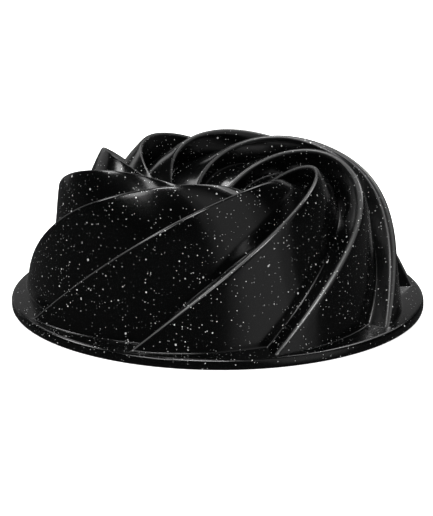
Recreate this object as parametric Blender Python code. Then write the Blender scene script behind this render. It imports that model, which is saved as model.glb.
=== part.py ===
"""A fluted ring-cake (bundt) pan of coated sheet steel, standing on its rim with the crown up.

Units are metres, +Z is up, and the origin is the centre of the rim's resting plane. Three pieces:
the pressed shell, the chimney tube seamed into its throat, and the wire inside its curled rim.
"""

import math

import bpy
import numpy as np

MM = 0.001

# Driving dimensions, in millimetres.
LOBES = 9
SHEET = 1.0
RIM_RADIUS = 130.0
RIM_HEIGHT = 6.5
RIM_CORNER = 2.4
RIM_BOTTOM_CORNER = 1.6
CURL_WIDTH = 5.6
CURL_TOP = 4.1
WIRE_RADIUS = 1.4
GAP = 0.3
FOOT_FILLET = 1.6
VALLEY_ROUNDING = 1.0
LOWEST_FLUTE = 0.3
FIRST_CREST_ANGLE = -114.4
COLLAR_RADIUS = 22.8
COLLAR_BOTTOM = 33.0
TUBE_END_RADIUS = 18.0
TUBE_BOTTOM = 4.5
SLEEVE_TOP = 41.0
BEAD_HEIGHT = 37.0
BEAD_DEPTH = 0.9
BEAD_HALF_WIDTH = 1.6
TUBE_CURL_RADIUS = 1.7
SHOULDER_DROP = 2.5
SHOULDER_RISE = 1.6

# Stations along one flute, from the rim over the crown to the throat. Each row holds the crest's radius and
# height, the valley's radius and height, the crest's lean from the meridian in degrees, the run of the
# flute's steep face and the rounding of its crest.
STATIONS = (
    (125.5, 6.5, 111.0, 6.5, 46.0, 0.6, 2.6),
    (118.2, 27.5, 105.5, 26.0, 48.0, 1.0, 3.8),
    (111.0, 52.7, 96.5, 47.5, 50.5, 1.6, 5.0),
    (101.2, 76.8, 86.5, 63.5, 52.0, 2.6, 6.0),
    (84.0, 92.4, 76.5, 69.5, 56.5, 4.0, 5.4),
    (62.0, 96.2, 67.0, 73.5, 57.5, 6.5, 4.2),
    (39.5, 80.2, 49.0, 73.0, 39.5, 6.0, 3.2),
    (25.5, 57.5, 28.5, 53.0, 26.0, 2.6, 2.2),
    (COLLAR_RADIUS, 44.0, COLLAR_RADIUS, 43.0, 10.0, 2.0, 1.5),
)
CREST_R, CREST_Z, VALLEY_R, VALLEY_Z, LEAN, STEEP_RUN, CREST_ROUNDING = range(7)

# Mesh density.
FLUTE_ROWS = 17
STEEP_STEPS = 1
CREST_STEPS = 2
BROAD_STEPS = 5
VALLEY_STEPS = 1
CORNER_STEPS = 2
RING_STEPS = 54
WIRE_SIDES = 8

PITCH = 2 * math.pi / LOBES


def clear_scene():
    for obj in list(bpy.data.objects):
        bpy.data.objects.remove(obj, do_unlink=True)


def coating_material(name, color, roughness, metallic):
    material = bpy.data.materials.new(name)
    material.use_nodes = True
    shader = material.node_tree.nodes["Principled BSDF"]
    shader.inputs["Base Color"].default_value = (*color, 1.0)
    shader.inputs["Roughness"].default_value = roughness
    shader.inputs["Metallic"].default_value = metallic
    return material


def spline(stations, places):
    """Natural cubic spline through the rows of stations, which lie one unit apart, read at places."""
    rows = np.asarray(stations, float)
    count = len(rows)
    system = np.eye(count)
    right = np.zeros_like(rows)
    for i in range(1, count - 1):
        system[i, i - 1 : i + 2] = 1, 4, 1
        right[i] = 6 * (rows[i - 1] - 2 * rows[i] + rows[i + 1])
    bend = np.linalg.solve(system, right)
    i = np.clip(places.astype(int), 0, count - 2)
    f = (places - i)[:, None]
    straight = rows[i] * (1 - f) + rows[i + 1] * f
    return straight + ((1 - f) ** 3 - (1 - f)) * bend[i] / 6 + (f**3 - f) * bend[i + 1] / 6


def arc(centre, radius, start, end, steps):
    """Points on an arc from one angle to the other, in degrees, both ends included."""
    angles = np.radians(np.linspace(start, end, steps + 1))
    return np.column_stack(
        [centre[0] + radius * np.cos(angles), centre[1] + radius * np.sin(angles)]
    )


def fillet(before, corner, after, radius, steps):
    """Points of the arc that rounds a corner of an outline."""
    before, corner, after = (np.asarray(point, float) for point in (before, corner, after))
    to_before = (before - corner) / np.linalg.norm(before - corner)
    to_after = (after - corner) / np.linalg.norm(after - corner)
    half = math.acos(np.clip(to_before @ to_after, -1, 1)) / 2
    middle = (to_before + to_after) / np.linalg.norm(to_before + to_after)
    centre = corner + middle * radius / math.sin(half)
    first = corner + to_before * radius / math.tan(half) - centre
    last = corner + to_after * radius / math.tan(half) - centre
    start = math.degrees(math.atan2(first[1], first[0]))
    turn = math.degrees(math.atan2(last[1], last[0])) - start
    turn = (turn + 180) % 360 - 180
    return arc(centre, radius, start, start + turn, steps)


def flute_section(width, depth, steep_run, crest_rounding):
    """One flute cut across: distance along the wall and height above the valley.

    It runs from the middle of the steep face, over the crest and down the broad face to the valley, and stops
    short of the middle of the next steep face, where the next flute starts.
    """
    crest = (0, depth)
    valley = (width - steep_run, 0)
    next_crest = (width, depth)
    steep_middle = np.array([-steep_run / 2, depth / 2])
    over = fillet((-steep_run, 0), crest, valley, crest_rounding, CREST_STEPS)
    under = fillet(crest, valley, next_crest, VALLEY_ROUNDING, VALLEY_STEPS)
    up = np.linspace(steep_middle, over[0], STEEP_STEPS + 1)[:-1]
    down = np.linspace(over[-1], under[0], BROAD_STEPS + 1)[1:-1]
    rise = np.linspace(under[-1], steep_middle + (width, 0), STEEP_STEPS + 1)[1:-1]
    return np.vstack([up, over, down, under, rise])


def flute_rows():
    """The outer face of the fluted wall, row by row from the rim to the collar, as (x, y, z) in millimetres."""
    places = np.linspace(0, len(STATIONS) - 1, FLUTE_ROWS)
    stations = spline(STATIONS, places)
    crests = stations[:, [CREST_R, CREST_Z]]
    valleys = stations[:, [VALLEY_R, VALLEY_Z]]
    lengths = np.hypot(*np.diff(crests, axis=0).T)
    twist_rate = np.tan(np.radians(stations[:, LEAN])) / crests[:, 0]
    steps = (twist_rate[1:] + twist_rate[:-1]) / 2 * lengths
    twist = np.concatenate([[0], np.cumsum(steps)]) + math.radians(FIRST_CREST_ANGLE)
    rows = []
    for station, crest, valley, turn in zip(stations, crests, valleys, twist):
        depth = max(np.linalg.norm(crest - valley), LOWEST_FLUTE)
        section = flute_section(
            PITCH * crest[0], depth, station[STEEP_RUN], station[CREST_ROUNDING]
        )
        angles = turn + section[:, 0] / crest[0]
        height = (section[:, 1] / depth)[:, None]
        profile = valley + (crest - valley) * height
        around = [angles + PITCH * lobe for lobe in range(LOBES)]
        rows.append(ring(np.tile(profile, (LOBES, 1)), np.concatenate(around)))
    return rows


def ring(profile, angles):
    """A row of points at the given radii and heights (an array of pairs) and angles."""
    return np.column_stack(
        [profile[:, 0] * np.cos(angles), profile[:, 0] * np.sin(angles), profile[:, 1]]
    )


def round_row(radius, height, angles):
    return ring(np.tile((radius, height), (len(angles), 1)), angles)


def row_angles(row):
    return np.unwrap(np.arctan2(row[:, 1], row[:, 0]))


def foot_rows(foot, above):
    """Three rows of the curve that rounds the foot of the wall into the flange, half as far out as it is up."""
    up = above - foot
    up *= (FOOT_FILLET / np.linalg.norm(up, axis=1))[:, None]
    angles = row_angles(foot)
    outward = np.column_stack([np.cos(angles), np.sin(angles), np.zeros(len(angles))])
    on_flange = foot + outward * FOOT_FILLET / 2
    on_wall = foot + up
    middle = (on_flange + on_wall) / 4 + foot / 2
    return [on_flange, middle, on_wall]


def rim_profile():
    """Flange, turned-down skirt and curl in the outer face, from the curl's hidden end to the flange."""
    top = RIM_HEIGHT
    outer = RIM_RADIUS
    inner = RIM_RADIUS - CURL_WIDTH
    low = RIM_BOTTOM_CORNER
    return np.vstack(
        [
            [(inner, CURL_TOP)],
            arc((inner + low, low), low, 180, 270, CORNER_STEPS),
            arc((outer - low, low), low, 270, 360, CORNER_STEPS),
            arc((outer - RIM_CORNER, top - RIM_CORNER), RIM_CORNER, 0, 90, CORNER_STEPS),
        ]
    )


def collar_profile():
    """The round collar below the flutes, down to its free edge, with the locking bead."""
    bead = COLLAR_RADIUS + BEAD_DEPTH
    return (
        (COLLAR_RADIUS, BEAD_HEIGHT + BEAD_HALF_WIDTH),
        (bead, BEAD_HEIGHT),
        (COLLAR_RADIUS, BEAD_HEIGHT - BEAD_HALF_WIDTH),
        (COLLAR_RADIUS, COLLAR_BOTTOM),
    )


def row_normals(rows):
    """Outward unit normals of a grid of rows that closes on itself around the axis."""
    grid = np.array(rows)
    around = np.roll(grid, -1, axis=1)
    faces = np.cross(around[1:] - grid[:-1], grid[1:] - around[:-1])
    faces /= np.maximum(np.linalg.norm(faces, axis=2), 1e-9)[:, :, None]
    normals = np.zeros_like(grid)
    for side in (faces, np.roll(faces, 1, axis=1)):
        normals[:-1] += side
        normals[1:] += side
    return normals / np.linalg.norm(normals, axis=2)[:, :, None]


def mesh_object(name, points, faces, material):
    mesh = bpy.data.meshes.new(name)
    mesh.from_pydata((np.asarray(points) * MM).tolist(), [], faces)
    mesh.validate()
    mesh.materials.append(material)
    mesh.shade_smooth()
    mesh.set_sharp_from_angle(angle=math.radians(40))
    obj = bpy.data.objects.new(name, mesh)
    bpy.context.scene.collection.objects.link(obj)
    return obj


def grid_faces(row_count, width, closed_loop):
    """Quads between rows; a closed loop of rows joins its last row to its first."""
    faces = []
    for row in range(row_count if closed_loop else row_count - 1):
        following = (row + 1) % row_count
        for i in range(width):
            j = (i + 1) % width
            faces.append(
                (row * width + i, row * width + j, following * width + j, following * width + i)
            )
    return faces


def swirl_shell(material):
    flutes = flute_rows()
    foot = foot_rows(flutes[0], flutes[1])
    rim_angles = row_angles(flutes[0])
    throat_angles = row_angles(flutes[-1])
    rows = [round_row(radius, height, rim_angles) for radius, height in rim_profile()]
    rows += foot
    rows += flutes[1:]
    rows += [round_row(radius, height, throat_angles) for radius, height in collar_profile()]
    inner = np.array(rows) - row_normals(rows) * SHEET
    loop = np.concatenate([np.array(rows), inner[::-1]])
    faces = grid_faces(len(loop), loop.shape[1], closed_loop=True)
    return mesh_object("swirl_shell", loop.reshape(-1, 3), faces, material)


def turned_ring(name, outline, material):
    """A solid of revolution from a closed outline of radius and height pairs, run counter-clockwise."""
    angles = np.linspace(0, 2 * math.pi, RING_STEPS, endpoint=False)
    rows = np.array([round_row(radius, height, angles) for radius, height in outline])
    faces = grid_faces(len(rows), RING_STEPS, closed_loop=True)
    return mesh_object(name, rows.reshape(-1, 3), faces, material)


def thickened(path, thickness):
    """A closed outline around an open path: the path, then its copy set off to the path's left, reversed."""
    path = np.asarray(path, float)
    direction = np.gradient(path, axis=0)
    direction /= np.linalg.norm(direction, axis=1)[:, None]
    left = np.column_stack([-direction[:, 1], direction[:, 0]])
    return np.vstack([path, (path + left * thickness)[::-1]])


def center_tube(material):
    """The chimney, drawn as its axis-side face from the sleeve around the collar down to the curled free end."""
    sleeve = COLLAR_RADIUS + SHEET + GAP
    bead = sleeve + BEAD_DEPTH
    shoulder = COLLAR_BOTTOM - SHOULDER_DROP
    curl_centre = (TUBE_END_RADIUS + TUBE_CURL_RADIUS, TUBE_BOTTOM + TUBE_CURL_RADIUS)
    path = np.vstack(
        [
            [
                (sleeve, SLEEVE_TOP),
                (sleeve, BEAD_HEIGHT + BEAD_HALF_WIDTH),
                (bead, BEAD_HEIGHT),
                (sleeve, BEAD_HEIGHT - BEAD_HALF_WIDTH),
                (sleeve, shoulder + SHOULDER_RISE),
                (COLLAR_RADIUS, shoulder),
            ],
            arc(curl_centre, TUBE_CURL_RADIUS, 180, 360, 4),
        ]
    )
    return turned_ring("center_tube", thickened(path, SHEET), material)


def rim_wire(material):
    centre = (
        RIM_RADIUS - CURL_WIDTH / 2,
        SHEET + GAP + WIRE_RADIUS,
    )
    outline = arc(centre, WIRE_RADIUS, 0, 360, WIRE_SIDES)[:-1]
    return turned_ring("rim_wire", outline, material)


def main():
    clear_scene()
    coating = coating_material("speckled_black_enamel", (0.012, 0.012, 0.013), 0.12, 0.0)
    steel = coating_material("galvanised_steel", (0.55, 0.56, 0.57), 0.35, 1.0)
    swirl_shell(coating)
    center_tube(coating)
    rim_wire(steel)


main()
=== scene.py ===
"""The finished look of the fluted ring-cake pan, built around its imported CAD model.

Lengths in the shape code are millimetres, as in the part's own source, and meshes are stored in metres.
The three pieces are rebuilt much finer than the CAD solids, on the same driving dimensions. The shell and
the chimney get a glossy black coating with white speckles, and the wire a zinc coat.
"""

import math

import bpy
import numpy as np
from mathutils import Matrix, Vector

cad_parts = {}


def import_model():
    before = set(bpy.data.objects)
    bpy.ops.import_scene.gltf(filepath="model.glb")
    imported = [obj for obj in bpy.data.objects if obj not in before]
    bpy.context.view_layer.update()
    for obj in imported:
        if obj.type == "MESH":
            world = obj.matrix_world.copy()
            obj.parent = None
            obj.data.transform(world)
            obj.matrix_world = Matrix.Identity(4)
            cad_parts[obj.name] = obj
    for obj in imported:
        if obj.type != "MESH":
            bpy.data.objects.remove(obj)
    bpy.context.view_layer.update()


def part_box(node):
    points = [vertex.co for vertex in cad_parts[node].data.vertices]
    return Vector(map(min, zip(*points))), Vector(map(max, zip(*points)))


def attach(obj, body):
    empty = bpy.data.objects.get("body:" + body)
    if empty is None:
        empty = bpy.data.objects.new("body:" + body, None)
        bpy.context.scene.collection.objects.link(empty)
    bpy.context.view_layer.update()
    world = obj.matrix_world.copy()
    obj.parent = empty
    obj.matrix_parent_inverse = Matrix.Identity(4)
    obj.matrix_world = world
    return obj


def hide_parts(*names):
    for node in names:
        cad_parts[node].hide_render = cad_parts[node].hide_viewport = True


MM = 0.001

# Driving dimensions, in millimetres, the same as the CAD model's.
LOBES = 9
SHEET = 1.0
RIM_RADIUS = 130.0
RIM_HEIGHT = 6.5
RIM_CORNER = 2.4
RIM_BOTTOM_CORNER = 1.6
CURL_WIDTH = 5.6
CURL_TOP = 4.1
FOOT_FILLET = 1.6
VALLEY_ROUNDING = 1.0
LOWEST_FLUTE = 0.3
FIRST_CREST_ANGLE = -114.4
COLLAR_RADIUS = 22.8
COLLAR_BOTTOM = 33.0
TUBE_END_RADIUS = 18.0
GAP = 0.3
BEAD_HEIGHT = 37.0
BEAD_DEPTH = 0.9
BEAD_HALF_WIDTH = 1.6
TUBE_CURL_RADIUS = 1.7
SHOULDER_DROP = 2.5
SHOULDER_RISE = 1.6
SHOULDER_ROUNDING = 1.5

# Stations along one flute, from the rim over the crown to the throat: the crest's radius and height, the
# valley's radius and height, the crest's lean in degrees, the steep face's run and the crest's rounding.
STATIONS = (
    (125.5, 6.5, 111.0, 6.5, 46.0, 0.6, 2.6),
    (118.2, 27.5, 105.5, 26.0, 48.0, 1.0, 3.8),
    (111.0, 52.7, 96.5, 47.5, 50.5, 1.6, 5.0),
    (101.2, 76.8, 86.5, 63.5, 52.0, 2.6, 6.0),
    (84.0, 92.4, 76.5, 69.5, 56.5, 4.0, 5.4),
    (62.0, 96.2, 67.0, 73.5, 57.5, 6.5, 4.2),
    (39.5, 80.2, 49.0, 73.0, 39.5, 6.0, 3.2),
    (25.5, 57.5, 28.5, 53.0, 26.0, 2.6, 2.2),
    (COLLAR_RADIUS, 44.0, COLLAR_RADIUS, 43.0, 10.0, 2.0, 1.5),
)
CREST_R, CREST_Z, VALLEY_R, VALLEY_Z, LEAN, STEEP_RUN, CREST_ROUNDING = range(7)

# Mesh density.
FLUTE_ROWS = 136
STEEP_STEPS = 3
CREST_STEPS = 8
BROAD_STEPS = 12
VALLEY_STEPS = 4
CORNER_STEPS = 8
FOOT_STEPS = 6
BEAD_STEPS = 12
SHOULDER_STEPS = 6
TUBE_CURL_STEPS = 16
RING_STEPS = 192
WIRE_SIDES = 24

# The fillet at the foot takes the place of the fluted wall's first rows and leads up towards a later one.
FOOT_REPLACES_ROWS = 2
FOOT_AIMS_AT_ROW = 3

# The angle between lobes in radians, the points across one flute, and the fold in degrees from which an
# edge is shaded sharp.
PITCH = 2 * math.pi / LOBES
POINTS_PER_FLUTE = 2 * STEEP_STEPS + CREST_STEPS + BROAD_STEPS + VALLEY_STEPS
SHARP_ANGLE = 60

# The highlight painted along the crests: the mesh attribute's name, and how many points to each side it
# fades out over.
CREST_HIGHLIGHT_ATTRIBUTE = "crest_painted_highlight"
HIGHLIGHT_FADE_STEPS = 2.6

# Coating: its colours, one of them a grey painted along the crests as a highlight, its roughness from the
# glossiest patches to the dullest, and how much rougher the crests are.
BLACK = (0.0008, 0.0009, 0.0009, 1)
PAINTED_CREST_HIGHLIGHT = (0.055, 0.055, 0.055, 1)
DROP_WHITE = (0.82, 0.83, 0.82, 1)
COATING_ROUGHNESS = (0.15, 0.21)
CREST_EXTRA_ROUGHNESS = 0.07
COATING_IOR = 1.5

# White drops, as spacing, smallest radius and largest radius in millimetres, the share of the places that
# hold a drop, and the brightness of the faintest.
FINE_DROPS = (1.7, 0.2, 0.36, 0.42, 0.1)
MIDDLE_DROPS = (2.8, 0.26, 0.52, 0.28, 0.12)
COARSE_DROPS = (6.0, 0.5, 0.75, 0.24, 0.5)
# The part of a drop's radius that has its full brightness, and its height as a part of the orange peel's.
DROP_CORE = 0.7
DROP_HEIGHT = 0.03
# How the outlines of the drops wobble, in millimetres.
WOBBLE_SPACING = 1.6
WOBBLE_SIZE = 0.4

# Orange peel and the slow changes of gloss, with spacings and height in millimetres.
PEEL_SPACING = 4.0
PEEL_DETAIL = 3.0
PEEL_ROUGHNESS = 0.55
PEEL_HEIGHT = 0.5
PEEL_STRENGTH = 0.03
GLOSS_SPACING = 30

# Zinc on the wire: its two greys, their spacing in millimetres and its roughness.
ZINC_DARK = (0.38, 0.39, 0.41, 1)
ZINC_PALE = (0.66, 0.67, 0.68, 1)
SPANGLE_SPACING = 2.5
SPANGLE_DETAIL = 4.0
ZINC_ROUGHNESS = (0.3, 0.5)

# The part of a noise texture's values that is spread over a whole range.
NOISE_SPAN = (0.3, 0.7)

# Camera, in metres and degrees, its sensor and lens in millimetres.
CAMERA_ELEVATION = 17.25
CAMERA_DISTANCE = 1.549
CAMERA_AIM = Vector((-0.00084, 0, 0.0286))
CAMERA_ROLL = 0.235
CAMERA_SENSOR = 36.0
CAMERA_LENS = 171.5
CAMERA_REACH = 100

# Lights, as name, azimuth and elevation in degrees, distance and size in metres, and radiance, where 1 is
# paper white. Azimuth 0 is away from the camera and 90 is to the right of its view.
SOFTBOXES = (
    ("right_softbox", 130, 21, 1.5, (1.55, 2.6), 0.26),
    ("right_softbox_core", 131, 18, 1.4, (0.85, 2.2), 0.2),
    ("left_high_softbox", -125, 78, 1.4, (0.26, 0.26), 6),
    ("left_back_softbox", -72, 45, 1.4, (0.55, 0.32), 9),
    ("left_front_softbox", -138, 45, 1.4, (0.45, 0.35), 8),
    ("front_high_softbox", -165, 67, 1.4, (0.5, 0.26), 20),
    ("back_softbox", 5, 42, 1.6, (2.0, 0.5), 1.5),
    ("back_glow", -10, 9, 1.6, (2.4, 0.7), 0.22),
    ("right_back_softbox", 35, 54, 1.4, (0.5, 0.4), 6),
)
# Fill lights, which the glossy coating doesn't mirror.
FILLS = (
    ("front_fill", 180, 35, 2.4, (2.6, 2.2), 0.9),
    ("overhead_fill", 0, 90, 2.4, (3, 3), 1.35),
)
LIGHTS_AIM = Vector((0, 0, 0.05))

# Floor, half its side in metres, and the backdrop behind it.
FLOOR_HALF = 6.0
FLOOR_TONE = (0.93, 0.93, 0.93, 1)
FLOOR_ROUGHNESS = 0.9
FLOOR_GLOW = 0.75
BACKDROP = 0.95
WHITE = (1, 1, 1, 1)

# The studio's brightness low down and high up, and the heights on the unit sphere between which it changes.
STUDIO_LOW = 0.045
STUDIO_HIGH = 0.01
STUDIO_LOW_TO = -0.05
STUDIO_HIGH_FROM = 0.35


def spline(stations, places):
    """Natural cubic spline through the rows of stations, which lie one unit apart, read at places."""
    rows = np.asarray(stations, float)
    count = len(rows)
    system = np.eye(count)
    right = np.zeros_like(rows)
    for i in range(1, count - 1):
        system[i, i - 1 : i + 2] = 1, 4, 1
        right[i] = 6 * (rows[i - 1] - 2 * rows[i] + rows[i + 1])
    bend = np.linalg.solve(system, right)
    i = np.clip(places.astype(int), 0, count - 2)
    f = (places - i)[:, None]
    straight = rows[i] * (1 - f) + rows[i + 1] * f
    return straight + ((1 - f) ** 3 - (1 - f)) * bend[i] / 6 + (f**3 - f) * bend[i + 1] / 6


def arc(centre, radius, start, end, steps):
    """Points on an arc from one angle to the other, in degrees, both ends included."""
    angles = np.radians(np.linspace(start, end, steps + 1))
    return np.column_stack(
        [centre[0] + radius * np.cos(angles), centre[1] + radius * np.sin(angles)]
    )


def fillet(before, corner, after, radius, steps):
    """Points of the arc that rounds a corner of an outline."""
    before, corner, after = (np.asarray(point, float) for point in (before, corner, after))
    to_before = (before - corner) / np.linalg.norm(before - corner)
    to_after = (after - corner) / np.linalg.norm(after - corner)
    half = math.acos(np.clip(to_before @ to_after, -1, 1)) / 2
    middle = (to_before + to_after) / np.linalg.norm(to_before + to_after)
    centre = corner + middle * radius / math.sin(half)
    first = corner + to_before * radius / math.tan(half) - centre
    last = corner + to_after * radius / math.tan(half) - centre
    start = math.degrees(math.atan2(first[1], first[0]))
    turn = math.degrees(math.atan2(last[1], last[0])) - start
    turn = (turn + 180) % 360 - 180
    return arc(centre, radius, start, start + turn, steps)


def flute_section(width, depth, steep_run, crest_rounding):
    """One flute cut across, as distance along the wall and height above the valley."""
    crest = (0, depth)
    valley = (width - steep_run, 0)
    next_crest = (width, depth)
    steep_middle = np.array([-steep_run / 2, depth / 2])
    over = fillet((-steep_run, 0), crest, valley, crest_rounding, CREST_STEPS)
    under = fillet(crest, valley, next_crest, VALLEY_ROUNDING, VALLEY_STEPS)
    up = np.linspace(steep_middle, over[0], STEEP_STEPS + 1)[:-1]
    down = np.linspace(over[-1], under[0], BROAD_STEPS + 1)[1:-1]
    rise = np.linspace(under[-1], steep_middle + (width, 0), STEEP_STEPS + 1)[1:-1]
    return np.vstack([up, over, down, under, rise])


def ring(profile, angles):
    """A row of points at the given radii and heights (an array of pairs) and angles."""
    return np.column_stack(
        [profile[:, 0] * np.cos(angles), profile[:, 0] * np.sin(angles), profile[:, 1]]
    )


def round_row(radius, height, angles):
    return ring(np.tile((radius, height), (len(angles), 1)), angles)


def row_angles(row):
    return np.unwrap(np.arctan2(row[:, 1], row[:, 0]))


def flute_rows():
    """The outer face of the fluted wall, row by row from the rim to the collar."""
    places = np.linspace(0, len(STATIONS) - 1, FLUTE_ROWS)
    stations = spline(STATIONS, places)
    crests = stations[:, [CREST_R, CREST_Z]]
    valleys = stations[:, [VALLEY_R, VALLEY_Z]]
    lengths = np.hypot(*np.diff(crests, axis=0).T)
    twist_rate = np.tan(np.radians(stations[:, LEAN])) / crests[:, 0]
    steps = (twist_rate[1:] + twist_rate[:-1]) / 2 * lengths
    twist = np.concatenate([[0], np.cumsum(steps)]) + math.radians(FIRST_CREST_ANGLE)
    rows = []
    for station, crest, valley, turn in zip(stations, crests, valleys, twist):
        depth = max(np.linalg.norm(crest - valley), LOWEST_FLUTE)
        section = flute_section(
            PITCH * crest[0], depth, station[STEEP_RUN], station[CREST_ROUNDING]
        )
        angles = turn + section[:, 0] / crest[0]
        height = (section[:, 1] / depth)[:, None]
        profile = valley + (crest - valley) * height
        around = [angles + PITCH * lobe for lobe in range(LOBES)]
        rows.append(ring(np.tile(profile, (LOBES, 1)), np.concatenate(around)))
    return rows


def foot_rows(foot, above):
    """The small fillet between the flange and the fluted wall, from the flange up."""
    up = above - foot
    up *= (FOOT_FILLET / np.linalg.norm(up, axis=1))[:, None]
    angles = row_angles(foot)
    outward = np.column_stack([np.cos(angles), np.sin(angles), np.zeros(len(angles))])
    on_flange = foot + outward * FOOT_FILLET / 2
    on_wall = foot + up
    rows = []
    for t in np.linspace(0, 1, FOOT_STEPS + 1):
        rows.append(on_flange * (1 - t) ** 2 + foot * 2 * t * (1 - t) + on_wall * t**2)
    return rows


def rim_profile():
    """Flange, skirt and curl in the outer face, from the curl's hidden end to the flange."""
    top = RIM_HEIGHT
    outer = RIM_RADIUS
    inner = RIM_RADIUS - CURL_WIDTH
    low = RIM_BOTTOM_CORNER
    return np.vstack(
        [
            [(inner, CURL_TOP)],
            arc((inner + low, low), low, 180, 270, CORNER_STEPS),
            arc((outer - low, low), low, 270, 360, CORNER_STEPS),
            arc((outer - RIM_CORNER, top - RIM_CORNER), RIM_CORNER, 0, 90, CORNER_STEPS),
        ]
    )


def bead_profile(radius, depth):
    """The locking bead around the collar and the sleeve, from its top edge to its bottom edge."""
    places = np.linspace(1, -1, BEAD_STEPS + 1)
    swell = (1 + np.cos(math.pi * places)) / 2
    return np.column_stack([radius + depth * swell, BEAD_HEIGHT + BEAD_HALF_WIDTH * places])


def collar_profile():
    """The round collar below the flutes, down to its free edge."""
    return np.vstack(
        [bead_profile(COLLAR_RADIUS, BEAD_DEPTH), [(COLLAR_RADIUS, COLLAR_BOTTOM)]]
    )


def row_normals(rows):
    """Outward unit normals of a grid of rows that closes on itself around the axis."""
    grid = np.array(rows)
    around = np.roll(grid, -1, axis=1)
    faces = np.cross(around[1:] - grid[:-1], grid[1:] - around[:-1])
    faces /= np.maximum(np.linalg.norm(faces, axis=2), 1e-9)[:, :, None]
    normals = np.zeros_like(grid)
    for side in (faces, np.roll(faces, 1, axis=1)):
        normals[:-1] += side
        normals[1:] += side
    return normals / np.linalg.norm(normals, axis=2)[:, :, None]


def grid_faces(row_count, width):
    """Quads between rows, the last row joined to the first."""
    faces = []
    for row in range(row_count):
        following = (row + 1) % row_count
        for i in range(width):
            j = (i + 1) % width
            faces.append(
                (row * width + i, row * width + j, following * width + j, following * width + i)
            )
    return faces


def mesh_object(name, loop, material):
    """A closed mesh from a loop of rows, shaded smooth."""
    points = loop.reshape(-1, 3) * MM
    mesh = bpy.data.meshes.new(name)
    mesh.from_pydata(points.tolist(), [], grid_faces(len(loop), loop.shape[1]))
    mesh.materials.append(material)
    mesh.shade_smooth()
    mesh.set_sharp_from_angle(angle=math.radians(SHARP_ANGLE))
    obj = bpy.data.objects.new(name, mesh)
    bpy.context.scene.collection.objects.link(obj)
    return obj


def crest_painted_highlight(row_count, fluted_from, fluted_to):
    """How strongly the highlight is painted on each outer point, from 0 to 1 along the tops of the flutes.
    """
    middle = STEEP_STEPS + CREST_STEPS / 2
    nearness = 1 - np.abs(np.arange(POINTS_PER_FLUTE) - middle) / HIGHLIGHT_FADE_STEPS
    nearness = np.clip(nearness, 0, 1)
    highlight_mask = np.zeros((row_count, LOBES * POINTS_PER_FLUTE))
    highlight_mask[fluted_from:fluted_to] = np.tile(nearness**2 * (3 - 2 * nearness), LOBES)
    return highlight_mask


def shell_skin(material):
    """The shell: its outer face from the curl to the collar, then its inner face back to the curl."""
    flutes = flute_rows()
    rim_angles = row_angles(flutes[0])
    throat_angles = row_angles(flutes[-1])
    rim = [round_row(radius, height, rim_angles) for radius, height in rim_profile()]
    wall = foot_rows(flutes[0], flutes[FOOT_AIMS_AT_ROW]) + flutes[FOOT_REPLACES_ROWS:]
    collar = [round_row(radius, height, throat_angles) for radius, height in collar_profile()]
    outer = np.array(rim + wall + collar)
    inner = outer - row_normals(outer) * SHEET
    skin = mesh_object("shell_skin", np.concatenate([outer, inner[::-1]]), material)
    # The mask of the grey highlight painted along the crests, on the outer face only.
    highlight_mask = crest_painted_highlight(len(outer), len(rim), len(rim) + len(wall))
    attribute = skin.data.attributes.new(CREST_HIGHLIGHT_ATTRIBUTE, "FLOAT", "POINT")
    attribute.data.foreach_set("value", np.concatenate([highlight_mask, np.zeros_like(highlight_mask)]).ravel())
    return skin


def thickened(path, thickness):
    """A closed outline around an open path: the path, then its copy set off to the path's left, reversed."""
    path = np.asarray(path, float)
    direction = np.gradient(path, axis=0)
    direction /= np.linalg.norm(direction, axis=1)[:, None]
    left = np.column_stack([-direction[:, 1], direction[:, 0]])
    return np.vstack([path, (path + left * thickness)[::-1]])


def turned_ring(name, outline, material):
    """A solid of revolution from a closed outline of radius and height pairs, run counter-clockwise."""
    angles = np.linspace(0, 2 * math.pi, RING_STEPS, endpoint=False)
    loop = np.array([round_row(radius, height, angles) for radius, height in outline])
    return mesh_object(name, loop, material)


def chimney_skin(material):
    """The chimney tube: its beaded sleeve, the shoulder below it, the cone and the curl at its end."""
    low, high = (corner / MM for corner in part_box("center_tube"))
    sleeve = COLLAR_RADIUS + SHEET + GAP
    shoulder = COLLAR_BOTTOM - SHOULDER_DROP
    curl_height = low.z + SHEET + TUBE_CURL_RADIUS
    curl_centre = (TUBE_END_RADIUS + TUBE_CURL_RADIUS, curl_height)
    top = (sleeve, high.z)
    step = (sleeve, shoulder + SHOULDER_RISE)
    bend = (COLLAR_RADIUS, shoulder)
    end = (TUBE_END_RADIUS, curl_height)
    path = np.vstack(
        [
            [top],
            bead_profile(sleeve, BEAD_DEPTH),
            fillet(top, step, bend, SHOULDER_ROUNDING, SHOULDER_STEPS),
            fillet(step, bend, end, SHOULDER_ROUNDING, SHOULDER_STEPS),
            arc(curl_centre, TUBE_CURL_RADIUS, 180, 360, TUBE_CURL_STEPS),
        ]
    )
    return turned_ring("chimney_skin", thickened(path, SHEET), material)


def wire_ring(material):
    """The wire inside the curled rim."""
    low, high = (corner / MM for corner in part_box("rim_wire"))
    radius = (high.z - low.z) / 2
    centre = (RIM_RADIUS - CURL_WIDTH / 2, (high.z + low.z) / 2)
    outline = arc(centre, radius, 0, 360, WIRE_SIDES)[:-1]
    return turned_ring("wire_ring", outline, material)


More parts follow.
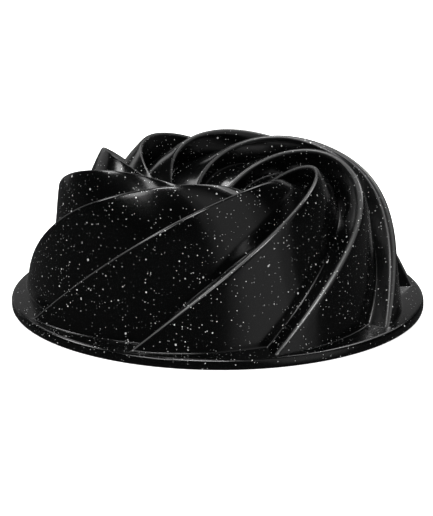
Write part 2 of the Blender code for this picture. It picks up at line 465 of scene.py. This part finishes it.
class Nodes:
    """Short calls for building a material's node tree."""

    def __init__(self, tree):
        self.tree = tree

    def add(self, kind, **settings):
        node = self.tree.nodes.new(kind)
        for name, value in settings.items():
            setattr(node, name, value)
        return node

    def link(self, source, target):
        self.tree.links.new(source, target)

    def feed(self, target, value):
        """Sets a socket to a number, or links it to another node's output."""
        if isinstance(value, (int, float)):
            target.default_value = value
        else:
            self.link(value, target)

    def math(self, operation, first, second=0.0, third=0.0):
        node = self.add("ShaderNodeMath", operation=operation)
        for socket, value in zip(node.inputs, (first, second, third)):
            self.feed(socket, value)
        return node.outputs[0]

    def noise(self, vector, scale, detail=2.0, roughness=0.5):
        node = self.add("ShaderNodeTexNoise")
        self.link(vector, node.inputs["Vector"])
        node.inputs["Scale"].default_value = scale
        node.inputs["Detail"].default_value = detail
        node.inputs["Roughness"].default_value = roughness
        return node

    def remap(self, value, low, high, out_low=0.0, out_high=1.0):
        node = self.add("ShaderNodeMapRange", interpolation_type="SMOOTHSTEP")
        for name, number in (
            ("From Min", low),
            ("From Max", high),
            ("To Min", out_low),
            ("To Max", out_high),
        ):
            self.feed(node.inputs[name], number)
        self.feed(node.inputs["Value"], value)
        return node.outputs["Result"]


def speckle_layer(nodes, place, drops):
    """Round drops of coating, from 0 to 1. Drops is one of the rows of numbers at the top of the script."""
    cell, smallest, largest, share, faintest = drops
    voronoi = nodes.add("ShaderNodeTexVoronoi", feature="F1")
    nodes.link(place, voronoi.inputs["Vector"])
    voronoi.inputs["Scale"].default_value = 1 / (cell * MM)
    voronoi.inputs["Randomness"].default_value = 1.0
    chance = nodes.add("ShaderNodeSeparateColor")
    nodes.link(voronoi.outputs["Color"], chance.inputs["Color"])
    size = nodes.remap(chance.outputs["Red"], 1 - share, 1.0, smallest / cell, largest / cell)
    present = nodes.math("GREATER_THAN", chance.outputs["Red"], 1 - share)
    core = nodes.math("MULTIPLY", size, DROP_CORE)
    inside = nodes.remap(voronoi.outputs["Distance"], size, core)
    mostly_faint = nodes.math("POWER", chance.outputs["Green"], 2.0)
    tone = nodes.math("MULTIPLY_ADD", mostly_faint, 1 - faintest, faintest)
    return nodes.math("MULTIPLY", nodes.math("MULTIPLY", inside, present), tone)


def blend_colors(nodes, factor, first, second):
    """A colour between two, by factor. Each is a colour or another node's output."""
    mix = nodes.add("ShaderNodeMix", data_type="RGBA")
    nodes.link(factor, mix.inputs["Factor"])
    for socket, color in ((mix.inputs["A"], first), (mix.inputs["B"], second)):
        if isinstance(color, tuple):
            socket.default_value = color
        else:
            nodes.link(color, socket)
    return mix.outputs["Result"]


def drop_pattern(nodes, place):
    """Where the white drops are, from 0 to 1, in three sizes with slightly uneven outlines."""
    wobble = nodes.noise(place, 1 / (WOBBLE_SPACING * MM))
    shift = nodes.add("ShaderNodeVectorMath", operation="MULTIPLY_ADD")
    nodes.link(wobble.outputs["Color"], shift.inputs[0])
    shift.inputs[1].default_value = (WOBBLE_SIZE * MM,) * 3
    nodes.link(place, shift.inputs[2])
    uneven = shift.outputs["Vector"]
    fine = speckle_layer(nodes, uneven, FINE_DROPS)
    middle = speckle_layer(nodes, uneven, MIDDLE_DROPS)
    coarse = speckle_layer(nodes, uneven, COARSE_DROPS)
    return nodes.math("MAXIMUM", nodes.math("MAXIMUM", fine, middle), coarse)


def coating_material():
    """Glossy black coating with white drops, a faint orange-peel surface, and a grey highlight painted along
    the slightly rougher crests.
    """
    material = bpy.data.materials.new("speckled_black_coating")
    material.use_nodes = True
    nodes = Nodes(material.node_tree)
    shader = material.node_tree.nodes["Principled BSDF"]
    place = nodes.add("ShaderNodeTexCoord").outputs["Object"]
    drops = drop_pattern(nodes, place)
    highlight_mask = nodes.add("ShaderNodeAttribute", attribute_name=CREST_HIGHLIGHT_ATTRIBUTE).outputs["Fac"]
    # A grey highlight is painted along the crests, where the coating is also made rougher.
    ground = blend_colors(nodes, highlight_mask, BLACK, PAINTED_CREST_HIGHLIGHT)
    nodes.link(blend_colors(nodes, drops, ground, DROP_WHITE), shader.inputs["Base Color"])
    peel = nodes.noise(place, 1 / (PEEL_SPACING * MM), PEEL_DETAIL, PEEL_ROUGHNESS)
    gloss = nodes.noise(place, 1 / (GLOSS_SPACING * MM))
    polish = nodes.remap(gloss.outputs["Fac"], *NOISE_SPAN, *COATING_ROUGHNESS)
    rough = nodes.math("MULTIPLY_ADD", highlight_mask, CREST_EXTRA_ROUGHNESS, polish)
    nodes.link(rough, shader.inputs["Roughness"])
    relief = nodes.math("MULTIPLY_ADD", drops, DROP_HEIGHT, peel.outputs["Fac"])
    bump = nodes.add("ShaderNodeBump")
    bump.inputs["Strength"].default_value = PEEL_STRENGTH
    bump.inputs["Distance"].default_value = PEEL_HEIGHT * MM
    nodes.link(relief, bump.inputs["Height"])
    nodes.link(bump.outputs["Normal"], shader.inputs["Normal"])
    shader.inputs["IOR"].default_value = COATING_IOR
    return material


def wire_material():
    """Dull zinc-coated steel wire with grey spangle."""
    material = bpy.data.materials.new("zinc_wire")
    material.use_nodes = True
    nodes = Nodes(material.node_tree)
    shader = material.node_tree.nodes["Principled BSDF"]
    place = nodes.add("ShaderNodeTexCoord").outputs["Object"]
    spangle = nodes.noise(place, 1 / (SPANGLE_SPACING * MM), SPANGLE_DETAIL).outputs["Fac"]
    nodes.link(blend_colors(nodes, spangle, ZINC_DARK, ZINC_PALE), shader.inputs["Base Color"])
    rough = nodes.remap(spangle, *NOISE_SPAN, *ZINC_ROUGHNESS)
    nodes.link(rough, shader.inputs["Roughness"])
    shader.inputs["Metallic"].default_value = 1.0
    return material


def build_pan():
    coating = coating_material()
    shell = shell_skin(coating)
    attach(shell, "root")
    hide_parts("swirl_shell")
    chimney = chimney_skin(coating)
    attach(chimney, "root")
    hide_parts("center_tube")
    wire = wire_ring(wire_material())
    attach(wire, "root")
    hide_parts("rim_wire")


def build_camera():
    elevation = math.radians(CAMERA_ELEVATION)
    away = Vector((0, -math.cos(elevation), math.sin(elevation)))
    camera = bpy.data.cameras.new("camera")
    camera.sensor_width = CAMERA_SENSOR
    camera.lens = CAMERA_LENS
    camera.clip_end = CAMERA_REACH
    obj = bpy.data.objects.new("camera", camera)
    bpy.context.scene.collection.objects.link(obj)
    obj.location = CAMERA_AIM + away * CAMERA_DISTANCE
    turn = (-away).to_track_quat("-Z", "Y").to_euler()
    turn.rotate_axis("Z", math.radians(CAMERA_ROLL))
    obj.rotation_euler = turn
    bpy.context.scene.camera = obj


def build_floor():
    """A pale floor that the coating doesn't mirror."""
    mesh = bpy.data.meshes.new("floor")
    side = FLOOR_HALF
    corners = [(-side, -side, 0), (side, -side, 0), (side, side, 0), (-side, side, 0)]
    mesh.from_pydata(corners, [], [(0, 1, 2, 3)])
    material = bpy.data.materials.new("pale_floor")
    material.use_nodes = True
    shader = material.node_tree.nodes["Principled BSDF"]
    shader.inputs["Base Color"].default_value = FLOOR_TONE
    shader.inputs["Roughness"].default_value = FLOOR_ROUGHNESS
    shader.inputs["Specular IOR Level"].default_value = 0.0
    shader.inputs["Emission Color"].default_value = WHITE
    shader.inputs["Emission Strength"].default_value = FLOOR_GLOW
    mesh.materials.append(material)
    obj = bpy.data.objects.new("floor", mesh)
    bpy.context.scene.collection.objects.link(obj)
    obj.visible_glossy = False
    obj.visible_shadow = False


def aim_direction(azimuth, elevation):
    """A unit vector. Azimuth 0 is +Y, and 90 is +X."""
    azimuth, elevation = math.radians(azimuth), math.radians(elevation)
    level = math.cos(elevation)
    return Vector((math.sin(azimuth) * level, math.cos(azimuth) * level, math.sin(elevation)))


def softbox(name, azimuth, elevation, distance, size, brightness):
    """A rectangular soft light that faces the pan. Brightness is its radiance, where 1 is paper white."""
    light = bpy.data.lights.new(name, "AREA")
    light.shape = "RECTANGLE"
    light.size, light.size_y = size
    light.energy = brightness * math.pi * size[0] * size[1]
    obj = bpy.data.objects.new(name, light)
    bpy.context.scene.collection.objects.link(obj)
    direction = aim_direction(azimuth, elevation)
    obj.location = LIGHTS_AIM + direction * distance
    obj.rotation_euler = (-direction).to_track_quat("-Z", "Y").to_euler()
    return obj


def build_lights():
    for row in SOFTBOXES:
        softbox(*row)
    for row in FILLS:
        softbox(*row).visible_glossy = False


def build_studio():
    """A dim studio around the pan, paler low down, with a pale backdrop that only the camera sees."""
    world = bpy.data.worlds.new("studio")
    bpy.context.scene.world = world
    world.use_nodes = True
    nodes = Nodes(world.node_tree)
    dim = world.node_tree.nodes["Background"]
    dim.inputs["Color"].default_value = WHITE
    direction = nodes.add("ShaderNodeSeparateXYZ")
    nodes.link(nodes.add("ShaderNodeTexCoord").outputs["Generated"], direction.inputs[0])
    height = direction.outputs["Z"]
    strength = nodes.remap(height, STUDIO_LOW_TO, STUDIO_HIGH_FROM, STUDIO_LOW, STUDIO_HIGH)
    nodes.link(strength, dim.inputs["Strength"])
    backdrop = nodes.add("ShaderNodeBackground")
    backdrop.inputs["Color"].default_value = WHITE
    backdrop.inputs["Strength"].default_value = BACKDROP
    seen = nodes.add("ShaderNodeLightPath").outputs["Is Camera Ray"]
    mix = nodes.add("ShaderNodeMixShader")
    nodes.link(seen, mix.inputs[0])
    nodes.link(dim.outputs[0], mix.inputs[1])
    nodes.link(backdrop.outputs[0], mix.inputs[2])
    nodes.link(mix.outputs[0], world.node_tree.nodes["World Output"].inputs["Surface"])


def main():
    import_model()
    build_camera()
    build_pan()
    build_floor()
    build_lights()
    build_studio()
    bpy.context.scene.view_settings.view_transform = "Standard"


main()
